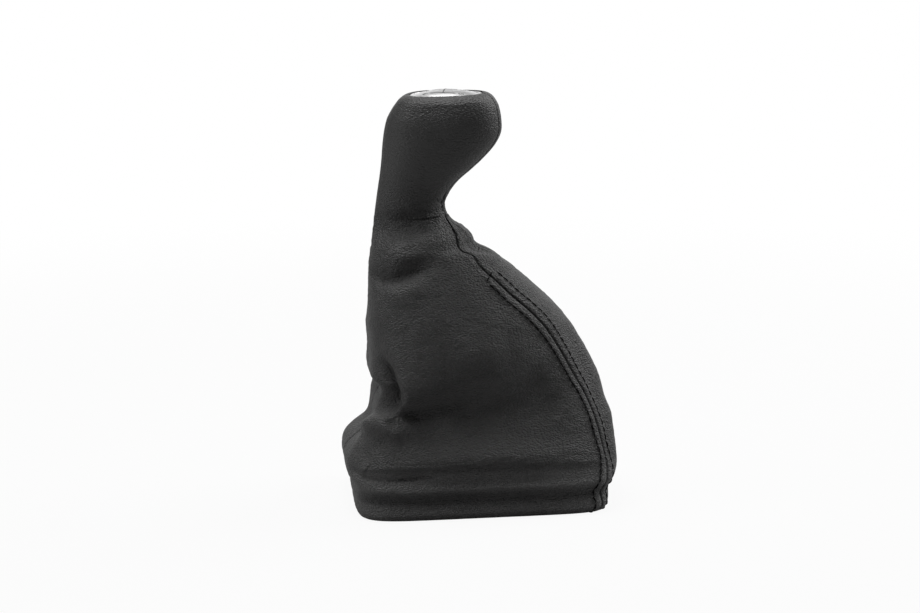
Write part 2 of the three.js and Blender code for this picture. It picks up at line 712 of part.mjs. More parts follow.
// Plate with a raised bright rim, a domed field and two legs
function patternPlate() {
  const edgeTop = seatHeight + plateEdge;
  const loops = [
    sectionLoop(seatHeight, leatherRim, plateInset),
    sectionLoop(edgeTop - plateChamfer, leatherRim, plateInset),
    sectionLoop(edgeTop, leatherRim, plateInset + plateChamfer),
    sectionLoop(edgeTop + plateCrown, leatherRim, plateInset + plateRim),
    sectionLoop(edgeTop + plateCrown - plateRimDrop, leatherRim, plateInset + plateRim + plateRimDrop),
  ];
  const fieldReach = curveAt(halfWidth, leatherRim) - plateInset - plateRim;
  for (const share of plateFieldShares) {
    const inset = plateInset + plateRim + plateRimDrop + share * (fieldReach - plateFlat);
    const rise = plateDome * (1 - (1 - share) ** 2);
    loops.push(sectionLoop(edgeTop - plateRimDrop + rise, leatherRim, inset));
  }
  let plate = solidOf(loft(loops));
  for (const leg of plateLegs(0)) plate = plate.add(leg);
  return geometryOf(plate);
}

function addPiece(group, name, geometry, finish) {
  const material = new THREE.MeshStandardMaterial(finish);
  const mesh = new THREE.Mesh(geometry, material);
  mesh.name = name;
  group.add(mesh);
}

const leatherFinish = { color: 0x242425, roughness: 0.55, metalness: 0 };
const mouldedFinish = { color: 0x1b1b1c, roughness: 0.6, metalness: 0 };
const steelFinish = { color: 0x8c8f92, roughness: 0.4, metalness: 1 };
const plateFinish = { color: 0xc9cbcc, roughness: 0.28, metalness: 0.9 };

const gaiter = new THREE.Group();
const rows = leatherRows();
const gussetRows = rows.filter((row) => row.level <= gussetTop - seamGap);
const farPlaces = (row) => sidePlaces(row).map((place) => 2 - place).reverse();
addPiece(gaiter, 'near_side_panel', leatherPanel(rows, sidePlaces), leatherFinish);
addPiece(gaiter, 'far_side_panel', leatherPanel(rows, farPlaces), leatherFinish);
addPiece(gaiter, 'front_gusset', leatherPanel(gussetRows, gussetPlaces), leatherFinish);
addPiece(gaiter, 'knob_core', knobCore(rows), mouldedFinish);
addPiece(gaiter, 'lever_sleeve', leverSleeve(), steelFinish);
addPiece(gaiter, 'shift_pattern_plate', patternPlate(), plateFinish);
addPiece(gaiter, 'base_frame', baseFrame(), mouldedFinish);
const plan = new THREE.Box3().setFromObject(gaiter);
gaiter.position.x = -(plan.min.x + plan.max.x) / 2;
gaiter.position.y = -(plan.min.y + plan.max.y) / 2;

export default gaiter;
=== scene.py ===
import copy
import math

import bpy
import numpy as np
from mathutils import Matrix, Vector


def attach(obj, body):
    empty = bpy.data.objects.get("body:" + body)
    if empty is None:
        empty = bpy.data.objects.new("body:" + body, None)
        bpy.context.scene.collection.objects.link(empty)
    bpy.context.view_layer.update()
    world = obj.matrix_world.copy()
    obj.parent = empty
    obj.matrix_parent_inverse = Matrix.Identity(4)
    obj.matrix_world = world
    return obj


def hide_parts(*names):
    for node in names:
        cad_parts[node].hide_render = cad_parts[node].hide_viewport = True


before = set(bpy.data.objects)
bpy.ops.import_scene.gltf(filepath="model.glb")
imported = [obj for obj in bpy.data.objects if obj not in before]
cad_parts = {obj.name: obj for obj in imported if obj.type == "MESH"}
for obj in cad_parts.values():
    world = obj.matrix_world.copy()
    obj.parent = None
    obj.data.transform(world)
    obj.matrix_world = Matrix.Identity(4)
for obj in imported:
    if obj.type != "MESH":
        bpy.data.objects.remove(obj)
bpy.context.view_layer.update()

# Millimetres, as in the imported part. X runs to the front, the near side faces -Y, Z is up.
MM = 0.001
skirt_top = 22
neck_height = 176
knob_top = 241
core_bottom = 178
knob_twist = 14
rim_tilt = 0.04
hem_length, hem_middle, hem_width = 147.5, -1.75, 108
neck_length, neck_middle, neck_width = 40.2, -41.5, 36.4
head_lean, nose_reach, head_swell = 13, 33.4, 6
plan_shift = (2.164, 0.7)

# The leather, its hem round the frame and its roll over the knob's rim
leather_thickness = 1.3
panel_gap = 0.7
gusset_width = 88
flap_height = 13.5
hem_turn = 2.2
frame_wall = 3
roll_height = 4.2
roll_reach = 7
roll_start = 0.7

# The sewing
stitch_distance = 5.4
stitch_pitch = 4.5
stitch_gap_share = 0.09
stitch_length = 4
stitch_radius = 0.4
groove_depth, front_groove_reach, rear_groove_reach = 0.3, 1.3, 1.7
seam_swell, seam_swell_end = 0.45, 7.8
needle_row_depth, needle_hole_depth, needle_row_reach = 0.5, 0.15, 0.75
edge_drop, edge_start, edge_full = 0.8, 0.9, 0.15


def skirt_at(share):
    return share * skirt_top


def body_at(share):
    return skirt_top + share * (neck_height - skirt_top)


def knob_at(share):
    return neck_height + share * (knob_top - neck_height)


leather_rim = knob_top - roll_height
gusset_top = body_at(0.965)
topstitch_top = body_at(0.74)
hem_rear, hem_front = hem_middle - hem_length / 2, hem_middle + hem_length / 2
neck_rear, neck_front = neck_middle - neck_length / 2, neck_middle + neck_length / 2
lever_axis = neck_middle + 0.5

# The plate and the gear marks on it
plate_inset = roll_reach + 0.5
plate_seat = leather_rim + 1.2
plate_edge = plate_seat + 2.6
plate_rim_width = 2
plate_field_drop = 0.3
plate_dome = 3
gate_spacing = 7
gate_reach = 7
line_width = 0.7
figure_height = 4.4
mark_rise = 0.08


def outline(body, knob, neck, hem, head):
    """A table of (height, place): shares of the way from neck to hem, and of how far the head stands out"""
    return ([(height, neck + share * (hem - neck)) for height, share in body]
            + [(height, neck + share * head) for height, share in knob])


REAR_EDGE = outline(
    [(skirt_at(0), 1), (skirt_at(0.26), 1.065), (skirt_at(0.57), 1.036), (skirt_at(0.88), 1.237),
     (skirt_top, 1.338), (body_at(0.04), 1.424), (body_at(0.075), 1.295), (body_at(0.11), 0.93),
     (body_at(0.14), 0.52), (body_at(0.165), 0.34), (body_at(0.19), 0.26), (body_at(0.25), 0.18),
     (body_at(0.31), 0.17), (body_at(0.36), 0.38), (body_at(0.42), 0.33), (body_at(0.6), 0.345),
     (body_at(0.78), 0.288), (body_at(0.87), 0.158), (neck_height, 0)],
    [(knob_at(0.34), 0.25), (knob_at(0.62), 0.385), (knob_at(0.78), 0.55), (knob_at(0.88), 0.8),
     (leather_rim, 1)],
    neck_rear, hem_rear, head_lean)
FRONT_EDGE = outline(
    [(skirt_at(0), 1), (skirt_at(0.3), 1.015), (skirt_at(0.57), 1.015), (skirt_at(0.88), 1.054),
     (body_at(0.02), 1.071), (body_at(0.12), 1.06), (body_at(0.21), 1.043), (body_at(0.3), 1.004),
     (body_at(0.4), 0.927), (body_at(0.5), 0.835), (body_at(0.6), 0.713), (body_at(0.7), 0.544),
     (body_at(0.79), 0.379), (body_at(0.83), 0.31), (body_at(0.85), 0.203), (body_at(0.9), 0.133),
     (body_at(0.95), 0.036), (neck_height, 0)],
    [(knob_at(0.12), 0.09), (knob_at(0.23), 0.26), (knob_at(0.34), 0.5), (knob_at(0.45), 0.72),
     (knob_at(0.56), 0.9), (knob_at(0.66), 1), (knob_at(0.77), 1), (knob_at(0.88), 0.95),
     (leather_rim, 0.89)],
    neck_front, hem_front, nose_reach)
HALF_WIDTH = outline(
    [(skirt_at(0), 1.03), (skirt_at(0.16), 1.04), (skirt_at(0.5), 0.985), (skirt_at(0.8), 1.03),
     (skirt_top, 1), (body_at(0.03), 1), (body_at(0.065), 1.06), (body_at(0.1), 1.05),
     (body_at(0.165), 0.933), (body_at(0.25), 0.911), (body_at(0.4), 0.872), (body_at(0.5), 0.782),
     (body_at(0.6), 0.66), (body_at(0.7), 0.53), (body_at(0.79), 0.375), (body_at(0.87), 0.201),
     (body_at(0.95), 0.039), (neck_height, 0)],
    [(knob_at(0.22), 0.27), (knob_at(0.45), 0.8), (knob_at(0.65), 1), (knob_at(0.8), 0.92),
     (leather_rim, 0.5)],
    neck_width / 2, hem_width / 2, head_swell)
# How much narrower the plan is at the front than in the middle, as a share, and how square it is
FRONT_TAPER = [
    (skirt_at(0), 0.12), (body_at(0.2), 0.12), (body_at(0.6), 0.16), (body_at(0.9), 0.1),
    (neck_height, 0.04), (knob_at(0.5), 0.1), (leather_rim, 0.08),
]
REAR_SQUARENESS = [
    (skirt_at(0), 6.5), (skirt_top, 5.4), (body_at(0.12), 4.6), (body_at(0.3), 5), (body_at(0.6), 3.3),
    (body_at(0.9), 2.3), (neck_height, 2.1), (knob_at(0.5), 2.2), (leather_rim, 2.5),
]
FRONT_SQUARENESS = [
    (skirt_at(0), 7), (skirt_top, 6.2), (body_at(0.12), 5), (body_at(0.3), 3.6), (body_at(0.6), 2.6),
    (body_at(0.9), 2.2), (neck_height, 2.1), (knob_at(0.5), 2.2), (leather_rim, 2.5),
]
# Half of the width that the gusset is cut to, as (height, share of its half width at the hem)
GUSSET_CUT = [
    (skirt_at(0), 1), (skirt_top, 1), (body_at(0.12), 0.932), (body_at(0.27), 0.864),
    (body_at(0.47), 0.818), (body_at(0.66), 0.76), (body_at(0.74), 0.68), (body_at(0.81), 0.59),
    (body_at(0.85), 0.44),
    (body_at(0.88), 0.36), (body_at(0.9), 0.31), (body_at(0.94), 0.16), (gusset_top, 0.04),
]

# How far the near panel sags in
NEAR_SAG = [
    (skirt_at(0.9), 0), (body_at(0.03), 1.4), (body_at(0.065), 3.6), (body_at(0.1), 4.3),
    (body_at(0.165), 4), (body_at(0.25), 4.9), (body_at(0.4), 4.9), (body_at(0.5), 2.9),
    (body_at(0.6), 0.3), (body_at(0.7), 0),
]
# How far the seam over the nose lies to the near side, as (height, length round the section)
SEAM_LEAN = [
    (body_at(0.93), 0), (gusset_top, 1.4), (neck_height, 4), (knob_at(0.25), 5.5), (knob_at(0.5), 5.5),
    (knob_at(0.8), 4), (leather_rim, 2.5),
]

# Places on a side are given as (share, body share): 0 to 1 from the hem's rear to its front, or -1 to 1
# across it at the front and the rear. Folds: side, rise, reach to the left and right of the path, path.
FOLDS = [
    ("near", 3.2, (6, 8), [(0.1, 0.825), (0.2, 0.85), (0.3, 0.885), (0.39, 0.925)]),
    ("near", -3, (10, 6), [(0.02, 0.925), (0.111, 0.925), (0.2, 0.94), (0.29, 0.965)]),
    ("near", -4.4, (6, 3.4), [(0.05, 0.755), (0.107, 0.742), (0.169, 0.755), (0.228, 0.775),
                              (0.325, 0.81)]),
    ("near", 2.2, (6, 6), [(0.119, 0.695), (0.186, 0.7), (0.281, 0.75)]),
    ("corner", -7.5, (7, 9), [(0.07, 0.48), (0.1, 0.4), (0.108, 0.32), (0.098, 0.24)]),
    ("near", -6, (6, 3.2), [(0.25, 0.275), (0.185, 0.256), (0.145, 0.235), (0.12, 0.21)]),
    ("near", -4.4, (7, 9), [(0.2, 0.24), (0.34, 0.285), (0.47, 0.305)]),
    ("near", -2.6, (9, 10), [(0.36, 0.22), (0.512, 0.235), (0.715, 0.285)]),
    ("near", -3.6, (15, 15), [(0.661, 0.38), (0.824, 0.24)]),
    ("near", 2.6, (10, 12), [(0.241, 0.07), (0.512, 0.1), (0.81, 0.09)]),
    ("near", 2.8, (15, 15), [(0.349, 0.46), (0.607, 0.5)]),
    ("near", -2.6, (2, 2), [(-0.058, 0.04), (0.051, 0.01), (0.12, 0.005), (0.214, 0.02), (0.3, 0.03)]),
    ("far", 3, (10, 10), [(0.105, 0.76), (0.241, 0.84), (0.336, 0.9)]),
    ("far", -2.8, (4.5, 5), [(0.092, 0.68), (0.2, 0.72), (0.349, 0.82)]),
    ("far", 3.4, (5, 7), [(0.078, 0.42), (0.173, 0.34), (0.214, 0.22)]),
    ("far", -4, (7, 8), [(0.119, 0.24), (0.281, 0.18), (0.553, 0.24), (0.742, 0.32)]),
    ("far", 2.4, (13, 13), [(0.444, 0.44), (0.688, 0.4)]),
    ("front", -1.6, (4, 5), [(-0.444, 0.86), (0, 0.82), (0.444, 0.85)]),
    ("front", 1.4, (6, 6), [(-0.296, 0.9), (0, 0.88), (0.296, 0.9)]),
    ("front", -1.8, (8, 8), [(-0.63, 0.3), (0, 0.26), (0.63, 0.3)]),
    ("rear", -3.6, (6, 6), [(-0.8, 0.33), (0, 0.31), (0.8, 0.33)]),
    ("rear", 8, (5, 12), [(-1.2, 0.235), (-0.8, 0.228), (-0.55, 0.19), (-0.35, 0.15)]),
    ("rear", 0.8, (8, 8), [(-0.481, 0.6), (0.074, 0.54), (0.444, 0.5)]),
]
# Sharp ridges and creases, given as the folds are
RIDGES = [
    ("near", 4, (10, 2.8), [(0.051, 0.491), (0.08, 0.468), (0.115, 0.435), (0.152, 0.399), (0.181, 0.366),
                           (0.192, 0.339), (0.188, 0.311), (0.171, 0.284), (0.131, 0.235), (0.105, 0.196)]),
    ("corner", 2.4, (2, 2.2), [(0.103, 0.385), (0.09, 0.345), (0.076, 0.31), (0.062, 0.285)]),
    ("corner", 5, (2.6, 13), [(0.05, 0.3), (0.076, 0.25), (0.08, 0.215), (0.072, 0.18), (0.062, 0.145),
                             (0.045, 0.1)]),
]
# Wrinkles: side, middle, reach in mm (across, up), angle, spacing, length, depth
WRINKLES = [
    ("near", (0.2, 0.78), (24, 14), 22, 3.4, 20, 0.3),
    ("near", (0.31, 0.95), (22, 14), 12, 5, 24, 0.3),
    ("near", (0.17, 0.6), (22, 26), 10, 4.6, 22, 0.16),
    ("near", (0.44, 0.62), (34, 30), -20, 6, 30, 0.16),
    ("near", (0.65, 0.2), (50, 26), 8, 6.5, 30, 0.25),
    ("near", (0.44, 0.03), (80, 12), 2, 4, 40, 0.25),
    ("near", (0.3, 0.92), (14, 9), 24, 2.6, 12, 0.35),
    ("near", (0.46, 0.86), (14, 9), -28, 2.6, 12, 0.35),
    ("far", (0.2, 0.76), (24, 16), 18, 3.6, 20, 0.3),
    ("far", (0.17, 0.3), (24, 30), 60, 5, 20, 0.3),
    ("far", (0.58, 0.3), (50, 34), 10, 6.5, 30, 0.25),
    ("far", (0.44, 0.03), (80, 12), 2, 4, 40, 0.25),
    ("front", (0, 0.5), (40, 60), 0, 6, 26, 0.25),
    ("front", (0, 0.86), (20, 18), 0, 3.6, 14, 0.3),
    ("rear", (0, 0.4), (40, 60), 0, 5.5, 26, 0.25),
    ("rear", (0, 0.88), (24, 20), 0, 4, 16, 0.25),
]
# Unevenness of the leather: height on the knob, what is added where it hangs, lengths round and up, seed
UNEVENNESS = [
    (0.04, 0.1, 11, 4.2, 71),
    (0.02, 0.07, 5, 2.2, 83),
]
# Each side's axis, where its shares start, what they span, the way it faces and how squarely at least
FACING = {
    "near": (0, hem_rear, hem_length, (0, -1), (0.05, 0.5)),
    "corner": (0, hem_rear, hem_length, (-0.35, -0.94), (0.35, 0.75)),
    "far": (0, hem_rear, hem_length, (0, 1), (0.05, 0.5)),
    "front": (1, 0, hem_width / 2, (1, 0), (0.05, 0.5)),
    "rear": (1, 0, hem_width / 2, (-1, 0), (0.05, 0.5)),
}
section_steps = 240
side_columns = 238
gusset_columns = 121
plate_columns = 144
inside_stride = 3
# Columns of the leather beside a rear seam and a front seam, in mm from the panel's edge
REAR_COLUMNS = np.array([0, 0.5, 1, 1.6, 2.4])
FRONT_COLUMNS = np.array([0, 0.4, 0.8, 1.2, 1.7, 2.3, 3, 3.8, 4.5, 5, 5.4, 5.8, 6.4, 7.2, 8.2])


def smooth(none, full, value):
    """Rises from 0 at one value to 1 at another, which may be the lower one"""
    t = np.clip((value - none) / (full - none), 0, 1)
    return t * t * (3 - 2 * t)


def bell(distance, reach):
    return np.exp(-((distance / reach) ** 2))


def curve(table, at):
    """A smooth curve through the points of a table"""
    x, y = np.array(table, float).T
    at = np.clip(at, x[0], x[-1])
    i = np.clip(np.searchsorted(x, at, side="right") - 1, 0, len(x) - 2)
    k = np.arange(len(x))
    before, after = np.maximum(k - 1, 0), np.minimum(k + 1, len(x) - 1)
    slope = (y[after] - y[before]) / (x[after] - x[before])
    span = x[i + 1] - x[i]
    t = (at - x[i]) / span
    t2, t3 = t * t, t * t * t
    return ((2 * t3 - 3 * t2 + 1) * y[i] + (t3 - 2 * t2 + t) * span * slope[i]
            + (3 * t2 - 2 * t3) * y[i + 1] + (t3 - t2) * span * slope[i + 1])


def noise(x, y, seed):
    """Smooth noise from about -1 to 1, with one cell per unit"""
    xi, yi = np.floor(x).astype(np.int64), np.floor(y).astype(np.int64)
    tx, ty = x - xi, y - yi

    def corner(i, j):
        h = ((xi + i) * 374761393 + (yi + j) * 668265263 + seed * 974634777) & 0xFFFFFFFF
        h = ((h ^ (h >> 13)) * 1274126177) & 0xFFFFFFFF
        angle = (h ^ (h >> 16)) / 0xFFFFFFFF * 2 * np.pi
        return np.cos(angle) * (tx - i) + np.sin(angle) * (ty - j)

    fx = tx ** 3 * (tx * (6 * tx - 15) + 10)
    fy = ty ** 3 * (ty * (6 * ty - 15) + 10)
    low = corner(0, 0) * (1 - fx) + corner(1, 0) * fx
    high = corner(0, 1) * (1 - fx) + corner(1, 1) * fx
    return 1.5 * (low * (1 - fy) + high * fy)


class Rows:
    """Level rows of the leather, with each row's section and the place where the front seam crosses it.
    Place 0 is the rear centre and 1 the front centre, 0 to 1 being the near half."""

    least_slant = 0.3
    tangent_step = 1.2

    def __init__(self, z, level, inset, relief):
        self.z, self.level, self.relief = z, level, relief
        self.points, self.lengths = half_sections(level, inset)
        self.full = half_sections(level, 0 * inset)[1][:, -1]
        cut = np.where(level > gusset_top, 0, curve(GUSSET_CUT, level)) * gusset_width / 2
        self.seam = 1 - cut / self.full
        self.lean = curve(SEAM_LEAN, level) / self.full
        index = np.arange(len(z))
        self.before, self.after = np.maximum(index - 1, 0), np.minimum(index + 1, len(z) - 1)
        # How squarely the seam crosses each row, as a sine
        self.slant = np.ones(len(z))
        seam_points = self.at(index, self.seam[:, None])[:, 0]
        climb = seam_points[self.after] - seam_points[self.before]
        level_way = self.tangent(self.seam[:, None])[:, 0]
        lengths = np.linalg.norm(climb, axis=1) * np.linalg.norm(level_way, axis=1)
        sine = np.linalg.norm(np.cross(climb, level_way), axis=1) / np.maximum(lengths, 1e-9)
        self.slant = np.where(self.seam == 1, 1, np.maximum(sine, self.least_slant))
        steps = np.linalg.norm(np.diff(seam_points, axis=0), axis=1)
        self.seam_length = np.concatenate([[0], np.cumsum(steps)])

    def at(self, index, place):
        """Points of the rows given by index, at places round them"""
        wrapped = place % 2
        near = wrapped <= 1
        length = self.lengths[index, -1][:, None] * np.where(near, wrapped, 2 - wrapped)
        flat = np.empty(place.shape + (2,))
        for line, r in enumerate(index):
            for axis in (0, 1):
                flat[line, :, axis] = np.interp(length[line], self.lengths[r], self.points[r, :, axis])
        flat[..., 1] *= np.where(near, 1, -1)
        turn = -math.radians(knob_twist) * smooth(body_at(0.5), knob_at(0.1), self.level[index])[:, None]
        dx = flat[..., 0] - lever_axis
        tilt = rim_tilt * smooth(knob_at(0.5), leather_rim, self.level[index])[:, None]
        return np.stack([
            lever_axis + dx * np.cos(turn) - flat[..., 1] * np.sin(turn),
            dx * np.sin(turn) + flat[..., 1] * np.cos(turn),
            self.z[index][:, None] + tilt * dx,
        ], -1)

    def tangent(self, place):
        index = np.arange(len(self.z))
        step = self.tangent_step / self.lengths[:, -1][:, None]
        return self.at(index, place + step) - self.at(index, place - step)

    def base(self, place):
        """Points and outward directions before any relief"""
        index = np.arange(len(self.z))
        up = self.at(self.after, place) - self.at(self.before, place)
        out = np.cross(self.tangent(place), up)
        return self.at(index, place), out / np.linalg.norm(out, axis=-1, keepdims=True)


def half_sections(level, inset):
    """The near half of each level section from the rear centre to the front centre, and its lengths"""
    rear, front, half, taper = (
        curve(table, level)[:, None] for table in (REAR_EDGE, FRONT_EDGE, HALF_WIDTH, FRONT_TAPER))
    inset = inset[:, None]
    rear, front = rear + inset, front - inset
    angle = np.linspace(np.pi, 0, section_steps + 1)[None]
    cos = np.cos(angle)
    power = 2 / np.where(cos > 0, curve(FRONT_SQUARENESS, level)[:, None],
                         curve(REAR_SQUARENESS, level)[:, None])
    along = np.sign(cos) * np.abs(cos) ** power
    across = np.clip(np.sin(angle), 0, 1) ** power
    across[:, [0, -1]] = 0
    x = (rear + front) / 2 + along * (front - rear) / 2
    y = -(half * (1 - taper * along) - inset) * across
    steps = np.hypot(np.diff(x, axis=1), np.diff(y, axis=1))
    lengths = np.concatenate([np.zeros((len(level), 1)), np.cumsum(steps, axis=1)], axis=1)
    return np.stack([x, y], -1), lengths


def facing_share(side, out):
    """How squarely the leather faces a side in plan"""
    _, _, _, way, (none, full) = FACING[side]
    level_out = out[..., :2] / np.maximum(np.linalg.norm(out[..., :2], axis=-1, keepdims=True), 1e-6)
    return smooth(none, full, level_out @ np.array(way, float))


def fold_rise(fold, points, out, sharp=False):
    """How far a fold lifts the leather"""
    side, rise, reach, path = fold
    share = facing_share(side, out)
    axis, begin, span = FACING[side][:3]
    path = np.array([(begin + across * span, body_at(up)) for across, up in path], float)
    at = np.stack([points[..., axis], points[..., 2]], -1)
    nearest = np.full(share.shape, np.inf)
    spread = np.full(share.shape, reach[0], float)
    travel = np.zeros(share.shape)
    for i in range(len(path) - 1):
        leg = path[i + 1] - path[i]
        start = at - path[i]
        held = np.clip(start @ leg / (leg @ leg), 0, 1)
        distance = np.linalg.norm(start - held[..., None] * leg, axis=-1)
        closer = distance < nearest
        left = leg[0] * start[..., 1] - leg[1] * start[..., 0] > 0
        nearest = np.where(closer, distance, nearest)
        spread = np.where(closer, np.where(left, reach[0], reach[1]), spread)
        travel = np.where(closer, (i + held) / (len(path) - 1), travel)
    overrun, faded = 0.12, 0.3
    fade = smooth(-overrun, faded, travel) * smooth(1 + overrun, 1 - faded, travel)
    profile = np.exp(0.5 - np.hypot(nearest / spread, 0.5)) if sharp else bell(nearest, spread)
    return share * fade * rise * profile


def wrinkle_rise(wrinkle, points, out, seed):
    """Shallow wrinkles that run one way over a patch"""
    side, (across, up), (reach_across, reach_up), angle, spacing, length, depth = wrinkle
    axis, begin, span = FACING[side][:3]
    dx = points[..., axis] - begin - across * span
    dz = points[..., 2] - body_at(up)
    mask = facing_share(side, out) * np.exp(-((dx / reach_across) ** 2) - (dz / reach_up) ** 2)
    turn = math.radians(angle)
    along = dx * math.cos(turn) + dz * math.sin(turn)
    over = -dx * math.sin(turn) + dz * math.cos(turn)
    over = over + 2 * noise(along / length, over / 12, seed + 50)
    wave = noise(along / length, over / spacing, seed)
    crease = (1 - np.minimum(np.abs(noise(along / length, over / spacing / 1.6, seed + 9)) * 2.5, 1)) ** 2
    return mask * depth * (wave - 0.8 * crease)


def seam_distances(rows, place):
    """Each point's share of the way from the rear to the front, and its distances from those seams"""
    half = np.where(place <= 1, place, 2 - place)
    near_seam, far_seam = rows.seam - rows.lean, 2 - rows.seam - rows.lean
    to_front = np.minimum(np.abs(place - near_seam[:, None]), np.abs(place - far_seam[:, None]))
    return half, to_front * (rows.full * rows.slant)[:, None], half * rows.full[:, None]


def broad_relief(level, points, out, to_front, to_rear, topstitched):
    """The seams' grooves, the swell beside the topstitched ones, the near side's sag, folds and ridges"""
    above_skirt = smooth(skirt_top - 1, skirt_top + 4, level)
    front_depth = groove_depth * (1 + topstitched * above_skirt)
    front_groove = front_depth * bell(to_front, front_groove_reach)
    broad = -front_groove - groove_depth * bell(to_rear, rear_groove_reach)
    broad = broad + seam_swell * topstitched * smooth(seam_swell_end, stitch_distance, to_front)
    broad = broad - curve(NEAR_SAG, level) * facing_share("near", out)
    loose = above_skirt * smooth(core_bottom, core_bottom - 8, level)
    for fold in FOLDS:
        broad = broad + loose * fold_rise(fold, points, out)
    for ridge in RIDGES:
        broad = broad + loose * fold_rise(ridge, points, out, sharp=True)
    return broad


def needle_rows(rows, half, to_front, topstitched):
    """The rows that the needle presses in beside a front seam, and the puckers between them"""
    seam_way = rows.seam_length[:, None]
    stitched = topstitched * (to_front < 12)
    holes = needle_row_depth + needle_hole_depth * np.cos(2 * np.pi * seam_way / stitch_pitch)
    pressed = stitched * bell(to_front - stitch_distance, needle_row_reach) * holes
    puckers = noise(seam_way / 2.6, np.sign(half - rows.seam[:, None]) + 0 * to_front, 91)
    puckered = stitched * 0.1 * puckers * bell(to_front - 3, 3)
    plain_puckers = 0.2 * (1 - topstitched) * noise(seam_way / 2.2, to_front / 9, 97) * bell(to_front, 4)
    return puckered - pressed + plain_puckers


def nose_gathers(rows, half):
    """Gathers that fan out from the tip of the gusset, under the nose of the knob"""
    count, height, begin, reach = 13, 0.45, 12, 9
    level = rows.level[:, None]
    to_centre = (1 - half) * rows.full[:, None]
    from_tip = np.hypot(to_centre, level - gusset_top + 6)
    angle = np.arctan2(to_centre, gusset_top + 6 - level)
    waves = np.sin(angle * count + 2 * noise(angle * 3, from_tip / 6, 99))
    return height * bell(from_tip - begin, reach) * waves


def relief(rows, place, points, out):
    """How far the leather stands out from the plain form, and the part of it that is fine"""
    level = rows.level[:, None]
    half, to_front, to_rear = seam_distances(rows, place)
    topstitched = smooth(topstitch_top + 5.8, topstitch_top, level)
    broad = broad_relief(level, points, out, to_front, to_rear, topstitched)
    soft = smooth(core_bottom + 14, core_bottom - 6, level)
    fine = needle_rows(rows, half, to_front, topstitched) + nose_gathers(rows, half)
    for number, wrinkle in enumerate(WRINKLES):
        fine = fine + soft * wrinkle_rise(wrinkle, points, out, 3 * number + 1)
    around = to_rear * np.where(place <= 1, 1, -1)
    for on_knob, hanging, length, rise, seed in UNEVENNESS:
        fine = fine + (on_knob + hanging * soft) * noise(around / length, level / rise, seed)
    edge = smooth(edge_start, edge_full, np.minimum(to_front, to_rear + 0.4))
    return (broad - edge_drop * edge) * rows.relief[:, None], fine * rows.relief[:, None]


def leather_rows(count):
    """Rows from the top edge of the flap inside, round the hem and up over the knob's rim"""
    flap_steps, turn_steps, roll_steps = 8, 5, 12
    flap = 2 * hem_turn + frame_wall
    quarter = np.linspace(0, np.pi / 2, turn_steps)
    lower = [(z, 0, flap, 0) for z in np.linspace(flap_height, hem_turn, flap_steps)]
    lower += [(hem_turn * (1 - math.sin(a)), 0, flap - hem_turn * (1 - math.cos(a)), 0)
              for a in quarter[1:]]
    lower += [(0, 0, hem_turn + 2, 0)]
    lower += [(hem_turn * (1 - math.cos(a)), 0, hem_turn * (1 - math.sin(a)), 0.5 * a) for a in quarter]
    up = [(z, z, 0, 1) for z in np.linspace(hem_turn, leather_rim, count)[1:]]
    sine, cosine = math.sin(roll_start), math.cos(roll_start)
    roll = [(leather_rim + roll_height * (math.sin(a) - sine) / (1 - sine), leather_rim,
             roll_reach * (1 - math.cos(a) / cosine), 1)
            for a in np.linspace(roll_start, np.pi / 2, roll_steps)[1:]]
    return Rows(*(np.array(column, float) for column in zip(*(lower + up + roll))))


def side_places(rows, side):
    """Columns close together beside the seams and even in between; side is 1 for near and -1 for far"""
    full, slanted = rows.full[:, None], (rows.full * rows.slant)[:, None]
    first = (panel_gap / 2 + REAR_COLUMNS) / full
    last = (rows.seam - side * rows.lean)[:, None] - (panel_gap / 2 + FRONT_COLUMNS[::-1]) / slanted
    count = side_columns - len(REAR_COLUMNS) - len(FRONT_COLUMNS)
    between = np.linspace(0, 1, count + 2)[1:-1]
    middle = first[:, -1:] + (last[:, :1] - first[:, -1:]) * between
    return np.concatenate([first, middle, last], axis=1)


def gusset_places(rows):
    """Columns of the gusset, which crowd less beside the seams where it narrows"""
    slanted = (rows.full * rows.slant)[:, None]
    start = rows.seam[:, None] + panel_gap / 2 / slanted
    share = 0.6 * np.arange(len(FRONT_COLUMNS)) / (len(FRONT_COLUMNS) - 1)
    beside = start + np.minimum(FRONT_COLUMNS / slanted, share * (1 - start))
    between = np.linspace(0, 1, gusset_columns - 2 * len(FRONT_COLUMNS) + 2)[1:-1]
    middle = beside[:, -1:] + (2 - 2 * beside[:, -1:]) * between
    return np.concatenate([beside, middle, (2 - beside)[:, ::-1]], axis=1)


def grid_faces(height, width, corner, turned=False):
    """Faces between the points of a grid, whose numbers come from corner(row, column)"""
    r, c = (a.ravel() for a in np.meshgrid(np.arange(height - 1), np.arange(width - 1), indexing="ij"))
    around = [corner(r, c), corner(r, c + 1), corner(r + 1, c + 1), corner(r + 1, c)]
    if turned:
        around = [around[0], *around[:0:-1]]
    return np.stack(around, 1).tolist()


